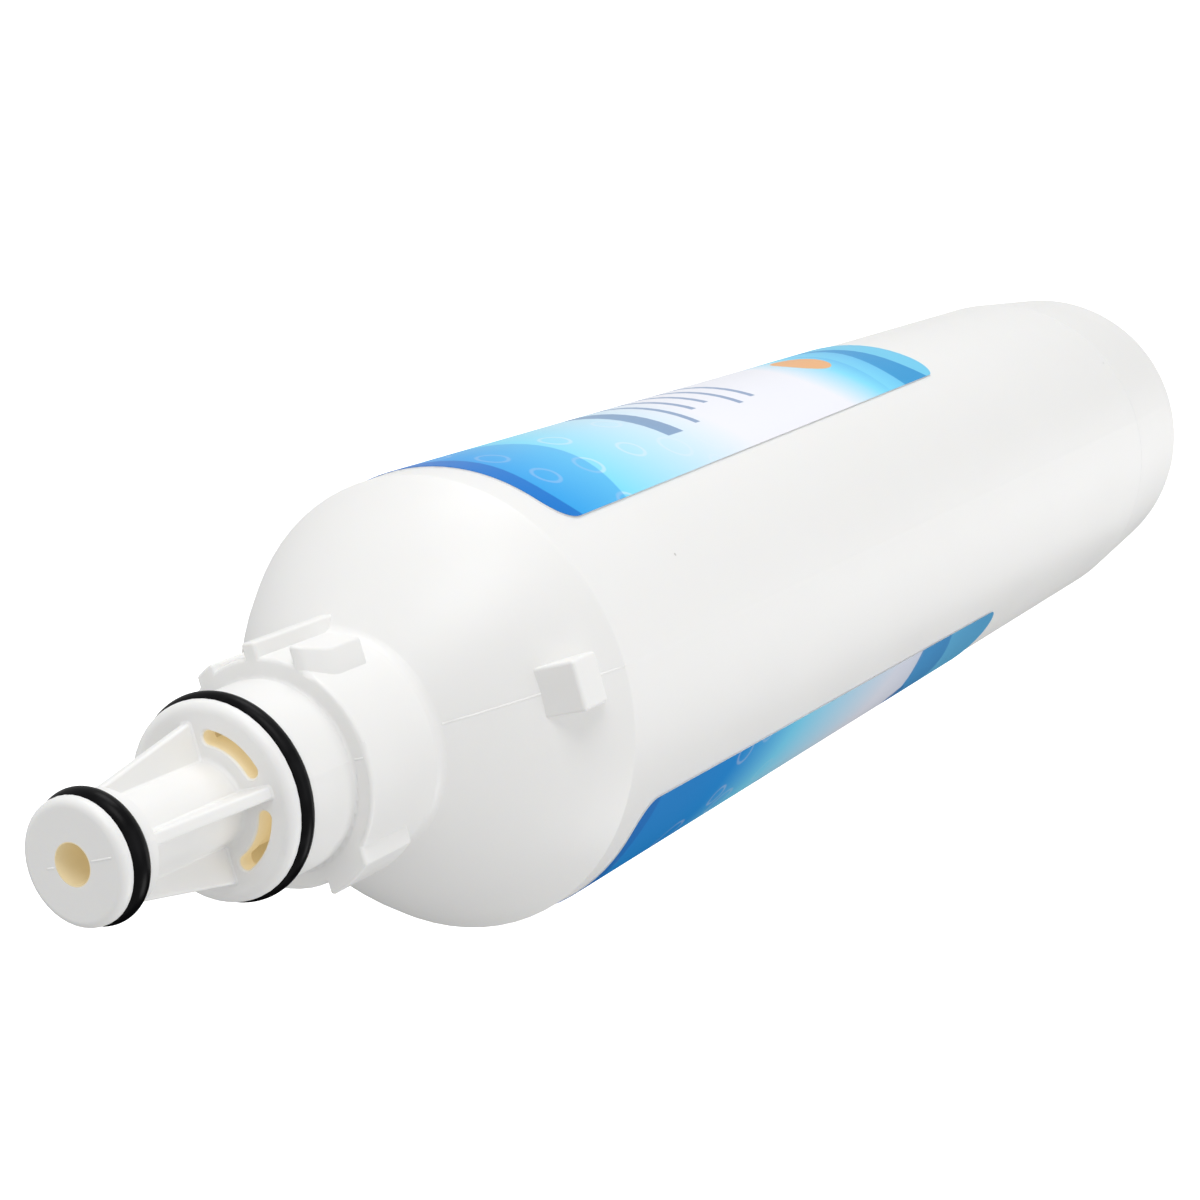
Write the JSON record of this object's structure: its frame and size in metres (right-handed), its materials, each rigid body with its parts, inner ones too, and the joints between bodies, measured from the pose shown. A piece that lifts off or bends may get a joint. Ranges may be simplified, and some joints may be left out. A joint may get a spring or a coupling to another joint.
{
  "type": "refrigerator water filter cartridge",
  "caption": "Cylindrical push-and-turn water filter cartridge for a refrigerator, with a ribbed nozzle sealed by rubber rings, a bayonet collar with lugs and a closed tapered end.",
  "frame": {"origin": "centre of the base plane at the closed end", "axes": "+Z along the cartridge's axis towards the nozzle, +X through the stop block on the shoulder and the mould's parting plane"},
  "size_m": [0.0652, 0.0654, 0.3289],
  "materials": {
    "white_plastic": "satin moulded polypropylene",
    "label_print": "printed film, blue to pale lilac",
    "black_rubber": "smooth, lightly greased",
    "carbon": "pressed granular carbon",
    "fleece": "non-woven",
    "inner_plastic": "plain moulded"
  },
  "bodies": {
    "root": {"housing": "white_plastic", "end_cap": "white_plastic", "label_film": "label_print", "tip_ring": "black_rubber", "flange_ring": "black_rubber", "neck_ring": "black_rubber", "carbon_block": "carbon", "prefilter_wrap": "fleece", "outlet_disc": "inner_plastic", "lower_disc": "inner_plastic"}
  },
  "joints": []
}
